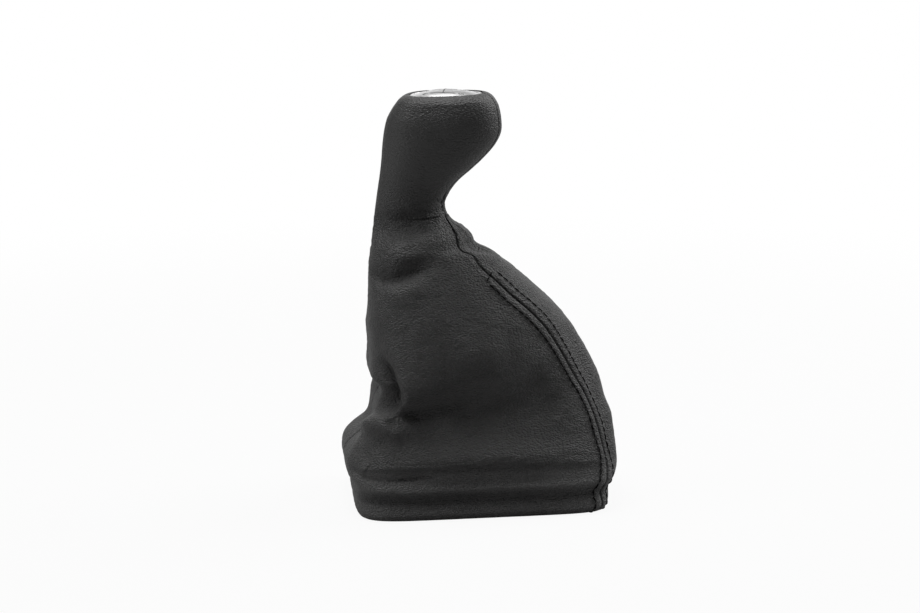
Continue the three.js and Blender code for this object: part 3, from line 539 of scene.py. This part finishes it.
def shell_faces(height, width):
    """Faces of a shell with a fine outside grid, an inside grid of every few points, and its rim"""
    stride = inside_stride
    rows_in, columns_in = (height - 1) // stride + 1, (width - 1) // stride + 1

    def outer(r, c):
        return r * width + c

    def inner(r, c):
        return height * width + r * columns_in + c

    faces = grid_faces(height, width, outer) + grid_faces(rows_in, columns_in, inner, turned=True)
    smooth_count = len(faces)
    top, side = height - 1, width - 1
    top_in, side_in = rows_in - 1, columns_in - 1
    for j in range(side_in):
        steps = [j * stride + k for k in range(stride + 1)]
        faces.append([outer(0, s) for s in steps[::-1]] + [inner(0, j), inner(0, j + 1)])
        faces.append([outer(top, s) for s in steps] + [inner(top_in, j + 1), inner(top_in, j)])
    for j in range(top_in):
        steps = [j * stride + k for k in range(stride + 1)]
        faces.append([outer(s, 0) for s in steps] + [inner(j + 1, 0), inner(j, 0)])
        faces.append([outer(s, side) for s in steps[::-1]] + [inner(j, side_in), inner(j + 1, side_in)])
    return faces, smooth_count


def add_piece(name, points, faces, replaced=(), smooth_count=None):
    """A mesh piece from points in millimetres before the plan shift"""
    mesh = bpy.data.meshes.new(name)
    placed = (np.asarray(points, float).reshape(-1, 3) + [*plan_shift, 0]) * MM
    mesh.from_pydata(placed.tolist(), [], faces)
    flags = np.zeros(len(faces), bool)
    flags[:len(faces) if smooth_count is None else smooth_count] = True
    mesh.polygons.foreach_set("use_smooth", flags)
    mesh.validate()
    piece = bpy.data.objects.new(name, mesh)
    bpy.context.scene.collection.objects.link(piece)
    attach(piece, "root")
    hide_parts(*replaced)
    return piece


def leather_piece(name, rows, place, node):
    """A panel of leather with a fine outside, a plainer inside and how far each point is raised"""
    points, out = rows.base(place)
    broad, fine = relief(rows, place, points, out)
    outside = points + out * (broad + fine)[..., None]
    inside = (points + out * (broad - leather_thickness)[..., None])[::inside_stride, ::inside_stride]
    faces, smooth_count = shell_faces(*place.shape)
    together = np.concatenate([outside.reshape(-1, 3), inside.reshape(-1, 3)])
    piece = add_piece(name, together, faces, [node], smooth_count)
    # How far each point is raised, kept for the material, which paints a highlight on the raised folds
    painted_highlight_rise = piece.data.attributes.new("painted_highlight_rise", "FLOAT", "POINT")
    raised = (broad + 1.5 * fine).ravel()
    painted_highlight_rise.data.foreach_set("value", np.concatenate([raised, np.zeros(len(together) - len(raised))]))
    return piece


# Sewing

def stitches_on(path, out):
    """Points and faces of short arched stitches laid along a path on the leather"""
    steps = np.linalg.norm(np.diff(path, axis=0), axis=1)
    way = np.concatenate([[0], np.cumsum(steps)])
    profile = [(0, 0.4), (0.1, 0.8), (0.3, 1), (0.5, 1.05), (0.7, 1), (0.9, 0.8), (1, 0.4)]
    sides, sunk, arch, flatness, slant = 8, 0.32, 0.58, 0.85, 0.14
    points, faces = [], []

    def along(line, at):
        return np.array([np.interp(at, way, line[:, axis]) for axis in range(3)])

    for number in range(int(way[-1] / stitch_pitch)):
        first = len(points)
        start = (number + stitch_gap_share) * stitch_pitch
        wobble = 0.06 * math.sin(number * 2.3) + 0.04 * math.sin(number * 5.1)
        for share, swell in profile:
            at = start + share * stitch_length
            centre, up = along(path, at), along(out, at)
            ahead = along(path, at + 0.3) - centre
            ahead /= np.linalg.norm(ahead) + 1e-9
            across = np.cross(up, ahead)
            lift = arch * math.sin(math.pi * share) ** 0.6 - sunk
            centre = centre + up * lift + across * (wobble + slant * (share - 0.5))
            for turn in np.arange(sides) * 2 * math.pi / sides:
                points.append(centre + stitch_radius * swell * (
                    across * math.cos(turn) + up * flatness * math.sin(turn)))
        for ring in range(len(profile) - 1):
            for k in range(sides):
                a, b = first + ring * sides + k, first + ring * sides + (k + 1) % sides
                faces.append([a, b, b + sides, a + sides])
        faces.append(list(range(first, first + sides))[::-1])
        faces.append(list(range(len(points) - sides, len(points))))
    return points, faces


def along_seam(rows, distance, side):
    """The outside of the leather beside a front seam, side 1 near and -1 far, and its outward directions.
    The distance is measured from the seam towards the side panel."""
    place = (rows.seam - distance / (rows.full * rows.slant))[:, None]
    if side < 0:
        place = 2 - place
    points, out = rows.base(place)
    broad, _ = relief(rows, place, points, out)
    return (points + out * broad[..., None])[:, 0], out[:, 0]


def topstitching(name, side):
    """The two rows beside a front seam and the short row across their top"""
    lines, across = [], []
    for distance in np.linspace(stitch_distance, -stitch_distance, 9):
        path, out = along_seam(seam_rows, distance, side)
        kept = seam_rows.level <= topstitch_top + 0.6 * (stitch_distance - distance)
        across.append((path[kept][-1], out[kept][-1]))
        if abs(distance) == stitch_distance:
            lines.append((path[kept], out[kept]))
    lines.append(tuple(np.array(part) for part in zip(*across)))
    points, faces = [], []
    for path, out in lines:
        line_points, line_faces = stitches_on(path - 0.12 * out, out)
        faces += [[v + len(points) for v in face] for face in line_faces]
        points += line_points
    return add_piece(name, points, faces)


def seam_strip(name, rows, place):
    """The turned-in edges under a seam, which close it behind the sewn edges"""
    half_width, upper, lower = 1, 0.9, 1.25
    rings = []
    for side, depth in ((-1, upper), (1, upper), (1, lower), (-1, lower)):
        column = (place + side * half_width / rows.full)[:, None]
        points, out = rows.base(column)
        broad, _ = relief(rows, column, points, out)
        rings.append((points + out * (broad - depth)[..., None])[:, 0])
    rings = np.stack(rings, 1)
    faces = [[4 * r + k, 4 * r + (k + 1) % 4, 4 * r + (k + 1) % 4 + 4, 4 * r + k + 4]
             for r in range(len(rings) - 1) for k in range(4)]
    last = 4 * (len(rings) - 1)
    faces += [[3, 2, 1, 0], [last, last + 1, last + 2, last + 3]]
    return add_piece(name, rings.reshape(-1, 3), faces)


# Plate

def plate_loop(inset):
    """A level loop round the top of the knob, this far in from the leather's edge"""
    rim = Rows(*(np.array([value], float) for value in (leather_rim, leather_rim, inset, 1)))
    return rim.at(np.array([0]), np.linspace(0, 2, plate_columns + 1)[None, :-1])[0]


def plate_edge_loops():
    """The plate's edge and the way inward from each of its points"""
    step = 1.9
    edge = plate_loop(plate_inset)
    return edge, (plate_loop(plate_inset + step) - edge) / step


def plate_height(share):
    """Height of the plate's field, from its edge at 0 to its middle at 1"""
    return plate_edge - plate_field_drop + plate_dome * (1 - (1 - share) ** 2)


def tilted(x, z):
    """The height of the leaning rim or plate over a place along X"""
    return z + rim_tilt * (x - lever_axis)


def pattern_plate():
    """The plate: a rolled edge, a shallow groove inside it and a field that rises a little to the middle"""
    columns, edge_radius = plate_columns, 0.7
    edge, inward = plate_edge_loops()
    middle = edge.mean(0)
    rim = [(0, plate_seat - plate_edge), (0, -edge_radius)]
    rim += [(0.6 * (1 - math.cos(a)), edge_radius * math.sin(a) - edge_radius)
            for a in np.linspace(0, math.pi / 2, 6)]
    rim += [(1.1, 0.06), (1.6, 0.02), (1.75, -0.14), (1.85, -0.28), (plate_rim_width, -plate_field_drop)]
    rings = [(edge + inward * step, plate_edge + height) for step, height in rim]
    field_edge = rings[-1][0]
    rings += [(middle + (field_edge - middle) * (1 - share), plate_height(share))
              for share in np.linspace(0.06, 0.97, 16)]
    for ring, height in rings:
        ring[:, 2] = tilted(ring[:, 0], height)
    faces = []
    for r in range(len(rings) - 1):
        for c in range(columns):
            d = (c + 1) % columns
            faces.append([r * columns + c, r * columns + d, (r + 1) * columns + d, (r + 1) * columns + c])
    faces.append([(len(rings) - 1) * columns + c for c in range(columns)])
    faces.append(list(range(columns))[::-1])
    points = np.concatenate([ring for ring, _ in rings])
    return add_piece("pattern_plate", points, faces, ["shift_pattern_plate"])


def on_plate(along, across):
    """Points of the plate's field for places ahead of and to the left of its middle"""
    edge, inward = plate_edge_loops()
    middle = edge.mean(0)
    edge = edge + inward * plate_rim_width
    turn = -math.radians(knob_twist)
    x = middle[0] + along * math.cos(turn) - across * math.sin(turn)
    y = middle[1] + along * math.sin(turn) + across * math.cos(turn)
    bearings = np.arctan2(edge[:, 1] - middle[1], edge[:, 0] - middle[0])
    radii = np.hypot(edge[:, 1] - middle[1], edge[:, 0] - middle[0])
    order = np.argsort(bearings)
    bearing = np.arctan2(y - middle[1], x - middle[0])
    reach = np.interp(bearing, bearings[order], radii[order], period=2 * np.pi)
    share = 1 - np.hypot(x - middle[0], y - middle[1]) / reach
    return np.stack([x, y, tilted(x, plate_height(share)) + mark_rise], -1)


def figure_outline(figure):
    """Points and faces of a figure about 1 high round its own middle, in the plain built-in font"""
    curve_data = bpy.data.curves.new("figure", "FONT")
    curve_data.body = figure
    curve_data.align_x, curve_data.align_y = "CENTER", "CENTER"
    curve_data.resolution_u = 6
    holder = bpy.data.objects.new("figure", curve_data)
    mesh = bpy.data.meshes.new_from_object(holder)
    points = np.array([vertex.co[:2] for vertex in mesh.vertices])
    faces = [list(polygon.vertices) for polygon in mesh.polygons]
    bpy.data.objects.remove(holder)
    bpy.data.curves.remove(curve_data)
    bpy.data.meshes.remove(mesh)
    return points, faces


def pattern_marks():
    """The gates as plain lines and their numbers, which read with the front of the car up"""
    points, faces = [], []
    line_points = 13

    def add(flat, flat_faces):
        faces.extend([v + len(points) for v in face] for face in flat_faces)
        points.extend(on_plate(flat[:, 0], flat[:, 1]))

    def line(start, end):
        start, end = np.array(start, float), np.array(end, float)
        way = (end - start) / np.linalg.norm(end - start)
        side = np.array([-way[1], way[0]]) * line_width / 2
        steps = np.linspace(0, 1, line_points)[:, None]
        ahead = start - way * line_width / 2 + steps * (end - start + way * line_width)
        flat = np.concatenate([ahead + side, ahead - side])
        add(flat, [[k, k + line_points, k + line_points + 1, k + 1] for k in range(line_points - 1)])

    for gate in (-1, 0, 1):
        line((-gate_reach, gate * gate_spacing), (gate_reach, gate * gate_spacing))
    line((0, -gate_spacing), (0, gate_spacing))
    for number in range(6):
        figure_points, figure_faces = figure_outline(str(number + 1))
        ahead = 1 if number % 2 == 0 else -1
        across = gate_spacing * (1 - number // 2) - figure_height * figure_points[:, 0]
        along = ahead * (gate_reach + 0.8 * figure_height) + figure_height * figure_points[:, 1]
        add(np.stack([along, across], 1), figure_faces)
    return add_piece("pattern_marks", np.array(points), faces)


# Materials

class Socket:
    """A shader value that sums, products and differences can be made of"""

    def __init__(self, nodes, socket):
        self.nodes, self.socket = nodes, socket

    def math(self, operation, other):
        node = self.nodes.node("ShaderNodeMath", {"operation": operation}, {0: self, 1: other})
        return self.nodes.out(node)

    def __add__(self, other):
        return self.math("ADD", other)

    def __sub__(self, other):
        return self.math("SUBTRACT", other)

    def __mul__(self, other):
        return self.math("MULTIPLY", other)

    def __rsub__(self, other):
        return (self * -1.0) + other

    __radd__, __rmul__ = __add__, __mul__

    def between(self, low, high):
        """0 at low and 1 at high, smooth in between"""
        node = self.nodes.node("ShaderNodeMapRange", {"interpolation_type": "SMOOTHSTEP"},
                               {"Value": self, "From Min": low, "From Max": high})
        return self.nodes.out(node, "Result")


class Nodes:
    """The nodes of a material or of the world"""

    def __init__(self, owner):
        owner.use_nodes = True
        self.owner, self.tree = owner, owner.node_tree
        self.tree.nodes.clear()

    def node(self, kind, settings=None, sockets=None):
        node = self.tree.nodes.new(kind)
        for key, value in (settings or {}).items():
            setattr(node, key, value)
        for key, value in (sockets or {}).items():
            if isinstance(value, Socket):
                self.tree.links.new(value.socket, node.inputs[key])
            else:
                node.inputs[key].default_value = value
        return node

    def out(self, node, name=0):
        return Socket(self, node.outputs[name])

    def is_camera_ray(self):
        return self.out(self.node("ShaderNodeLightPath"), "Is Camera Ray")

    def show(self, kind, shader):
        """Links a shader to the output and hands back the material or world"""
        self.node(kind, None, {"Surface": self.out(shader)})
        return self.owner


class Paint(Nodes):
    """The nodes of one material"""

    def __init__(self, name):
        super().__init__(bpy.data.materials.new(name))

    def place(self, stretch=(1, 1, 1)):
        coords = self.node("ShaderNodeTexCoord")
        sockets = {"Vector": self.out(coords, "Object"), "Scale": stretch}
        return self.out(self.node("ShaderNodeMapping", None, sockets))

    def along(self, axis):
        """The place along X, Y or Z in metres"""
        return self.out(self.node("ShaderNodeSeparateXYZ", None, {"Vector": self.place()}), axis)

    def noise(self, vector, scale, detail=2.0):
        sockets = {"Vector": vector, "Scale": scale, "Detail": detail, "Roughness": 0.5}
        return self.out(self.node("ShaderNodeTexNoise", None, sockets))

    def cells(self, vector, scale):
        sockets = {"Vector": vector, "Scale": scale, "Randomness": 1.0}
        return self.out(self.node("ShaderNodeTexVoronoi", {"feature": "F1"}, sockets), "Distance")

    def blend(self, factor, first, second):
        sockets = {0: factor, 6: first, 7: second}
        return self.out(self.node("ShaderNodeMix", {"data_type": "RGBA"}, sockets), 2)

    def bump(self, height, distance, strength=1.0):
        sockets = {"Height": height, "Distance": distance, "Strength": strength}
        return self.out(self.node("ShaderNodeBump", None, sockets))

    def finish(self, sockets):
        return self.show("ShaderNodeOutputMaterial", self.node("ShaderNodeBsdfPrincipled", None, sockets))


def grey(value, warm=0.0):
    return (value * (1 + warm), value, value * (1 - warm), 1)


def leather_material():
    """Black pebbled leather, smoother and worn on the knob, with painted highlights on raised folds and in
    bands along the hem
    """
    paint = Paint("leather")
    place = paint.place((0.75, 0.75, 1.35))
    drift = paint.noise(place, 260.0)
    cells = paint.cells(place, 900.0)
    fine_cells = paint.cells(place, 1700.0)
    height = paint.along("Z")
    worn = height.between(0.165, 0.2)
    pebbles = (1.0 - cells) + 0.35 * (1.0 - fine_cells) + drift * (0.6 - 0.5 * worn)
    grain = paint.bump(pebbles * (1.0 - 0.55 * worn), 0.0008)
    tone = paint.noise(paint.place(), 30.0, 3.0)
    painted_highlight_rise = paint.out(paint.node("ShaderNodeAttribute", {"attribute_name": "painted_highlight_rise"}), "Fac")
    raised = painted_highlight_rise.between(0.4, 3.6)
    colour = paint.blend(tone.between(0.3, 0.7), grey(0.024, 0.01), grey(0.031, 0.01))
    # Painted highlight: the raised folds are painted paler, as where the light falls on them
    colour = paint.blend(raised * 0.6, colour, grey(0.055, 0.01))
    # Painted highlight: pale bands low on the skirt and along the hem, where its folds face up to the light
    painted_hem_highlight = height.between(0.0115, 0.008) + height.between(0.0145, 0.018) * height.between(0.03, 0.025)
    colour = paint.blend(painted_hem_highlight * (0.6 + 0.3 * tone), colour, grey(0.075, 0.01))
    rough = 0.56 + 0.1 * (cells - 0.5) - 0.05 * raised
    return paint.finish(
        {"Base Color": colour, "Roughness": rough, "Normal": grain, "Specular IOR Level": 0.5})


def thread_material():
    """Dull black thread with the twist of its strands"""
    paint = Paint("thread")
    twist = paint.noise(paint.place(), 2600.0, 1.0)
    return paint.finish({
        "Base Color": paint.blend(twist, grey(0.002), grey(0.004)), "Roughness": 0.85,
        "Specular IOR Level": 0.1, "Normal": paint.bump(twist, 0.00015, 0.8)})


def mark_material():
    """The dark paint of the gear marks"""
    paint = Paint("mark_paint")
    speck = paint.noise(paint.place(), 900.0, 1.0)
    return paint.finish({"Base Color": paint.blend(speck, grey(0.05), grey(0.07)), "Roughness": 0.5})


def plate_material():
    """Satin metal brushed across the plate"""
    paint = Paint("plate_metal")
    brushed = paint.noise(paint.place((60, 900, 60)), 1.0)
    tone = paint.noise(paint.place(), 40.0)
    return paint.finish({
        "Base Color": paint.blend(tone, grey(0.6), grey(0.66)), "Metallic": 0.9,
        "Roughness": 0.3 + 0.12 * brushed, "Normal": paint.bump(brushed, 0.00002, 0.5)})


def moulded_material(name, tone):
    """Dark moulded plastic with a fine spark-eroded grain"""
    paint = Paint(name)
    place = paint.place()
    spark = paint.noise(place, 1400.0)
    cloud = paint.noise(place, 45.0, 3.0)
    return paint.finish({
        "Base Color": paint.blend(cloud, grey(tone * 0.8), grey(tone * 1.3)),
        "Roughness": 0.5 + 0.15 * cloud, "Normal": paint.bump(spark, 0.00012, 0.6)})


def steel_material():
    """Turned steel with the rings that the tool leaves"""
    paint = Paint("sleeve_steel")
    rings = paint.noise(paint.place((40, 40, 900)), 1.0)
    cloud = paint.noise(paint.place(), 60.0)
    return paint.finish({
        "Base Color": paint.blend(cloud, grey(0.42), grey(0.56)), "Metallic": 1.0,
        "Roughness": 0.3 + 0.2 * rings, "Normal": paint.bump(rings, 0.00003, 0.6)})


def dress(piece, material):
    piece.data.materials.clear()
    piece.data.materials.append(material)


# Build

def cut_rows(rows, top):
    """The rows up to a height, less one or two near the flap, so that the inside grid fits"""
    kept = rows.level <= top
    kept[1:1 + (int(kept.sum()) - 1) % inside_stride] = False
    cut = copy.copy(rows)
    for name, value in vars(rows).items():
        if isinstance(value, np.ndarray):
            setattr(cut, name, value[kept])
    index = np.arange(int(kept.sum()))
    cut.before, cut.after = np.maximum(index - 1, 0), np.minimum(index + 1, len(index) - 1)
    return cut


seam_rows = leather_rows(300)
panel_rows = cut_rows(seam_rows, knob_top)
gusset_rows = cut_rows(seam_rows, gusset_top - 0.2)
near_places = side_places(panel_rows, 1)
far_places = (2 - side_places(panel_rows, -1))[:, ::-1]
near = leather_piece("near_side", panel_rows, near_places, "near_side_panel")
far = leather_piece("far_side", panel_rows, far_places, "far_side_panel")
gusset = leather_piece("gusset", gusset_rows, gusset_places(gusset_rows), "front_gusset")
near_strip = seam_strip("near_seam_edges", panel_rows, panel_rows.seam - panel_rows.lean)
far_strip = seam_strip("far_seam_edges", gusset_rows, 2 - gusset_rows.seam - gusset_rows.lean)
rear_strip = seam_strip("rear_seam_edges", panel_rows, 0 * panel_rows.seam)
leather = leather_material()
for piece in (near, far, gusset, near_strip, far_strip, rear_strip):
    dress(piece, leather)
thread = thread_material()
for name, side in (("near_topstitches", 1), ("far_topstitches", -1)):
    dress(topstitching(name, side), thread)
dress(pattern_plate(), plate_material())
dress(pattern_marks(), mark_material())
dress(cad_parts["knob_core"], moulded_material("moulded_core", 0.03))
dress(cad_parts["base_frame"], moulded_material("frame_plastic", 0.035))
dress(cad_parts["lever_sleeve"], steel_material())


# Floor, light and camera

floor_reach, floor_level = 6.0, -0.0002
# Each lamp: name, place, what it is turned to, size, watts
LAMPS = [
    ("top", (-0.25, 0.1, 1.5), (-0.02, 0, 0.12), (1.0, 0.8), 22),
    ("left", (-1.5, -0.2, 0.45), (-0.02, 0, 0.06), (0.8, 0.7), 5.5),
    ("right", (1.25, 0.5, 1.15), (-0.02, 0, 0.1), (1.2, 1), 24),
    ("behind", (0.1, 1.6, 0.57), (-0.02, 0, 0.2), (1.8, 1), 6),
]
picture_width, millimetres_per_pixel, sensor_width = 920, 0.588, 36
view_azimuth, view_elevation, view_distance = math.radians(-4.5), math.radians(11.5), 2.0
view_target = (-0.01, 0.0004, 0.1146)


def floor():
    """A plain pale floor that keeps the shadow and is a little greyer to the camera near the part"""
    mesh = bpy.data.meshes.new("floor")
    corners = [(x * floor_reach, y * floor_reach, floor_level)
               for x, y in ((-1, -1), (1, -1), (1, 1), (-1, 1))]
    mesh.from_pydata(corners, [], [[0, 1, 2, 3]])
    piece = bpy.data.objects.new("floor", mesh)
    bpy.context.scene.collection.objects.link(piece)
    paint = Paint("floor")
    diffuse = paint.node("ShaderNodeBsdfDiffuse", None, {"Color": grey(0.45)})
    glow = paint.node("ShaderNodeEmission", None, {"Color": grey(1.0), "Strength": 1.0})
    x, y = paint.along("X"), paint.along("Y")
    seen = paint.is_camera_ray() * (0.93 + 0.07 * (x * x + y * y).between(0.1, 1.0))
    mix = paint.node("ShaderNodeMixShader", None, {0: seen, 1: paint.out(diffuse), 2: paint.out(glow)})
    dress(piece, paint.show("ShaderNodeOutputMaterial", mix))


def studio():
    """White to the camera, and a faint light on the part"""
    nodes = Nodes(bpy.data.worlds.new("studio"))
    faint, white = (nodes.node("ShaderNodeBackground", None, {"Color": grey(1.0), "Strength": strength})
                    for strength in (0.015, 1.0))
    seen = nodes.is_camera_ray()
    mix = nodes.node("ShaderNodeMixShader", None, {0: seen, 1: nodes.out(faint), 2: nodes.out(white)})
    bpy.context.scene.world = nodes.show("ShaderNodeOutputWorld", mix)


def area_light(name, place, target, size, power):
    data = bpy.data.lights.new(name, "AREA")
    data.shape = "RECTANGLE"
    data.size, data.size_y = size
    data.energy = power
    light = bpy.data.objects.new(name, data)
    bpy.context.scene.collection.objects.link(light)
    light.location = place
    way = Vector(target) - Vector(place)
    light.rotation_euler = way.to_track_quat("-Z", "Y").to_euler()


def camera():
    data = bpy.data.cameras.new("camera")
    data.sensor_width = sensor_width
    data.lens = sensor_width * view_distance / (picture_width * millimetres_per_pixel * MM)
    view = bpy.data.objects.new("camera", data)
    bpy.context.scene.collection.objects.link(view)
    level = math.cos(view_elevation)
    back = Vector((level * math.sin(view_azimuth), -level * math.cos(view_azimuth),
                   math.sin(view_elevation)))
    view.location = Vector(view_target) + back * view_distance
    view.rotation_euler = (-back).to_track_quat("-Z", "Y").to_euler()
    bpy.context.scene.camera = view


bpy.context.scene.view_settings.view_transform = "Standard"
floor()
studio()
for lamp in LAMPS:
    area_light(*lamp)
camera()
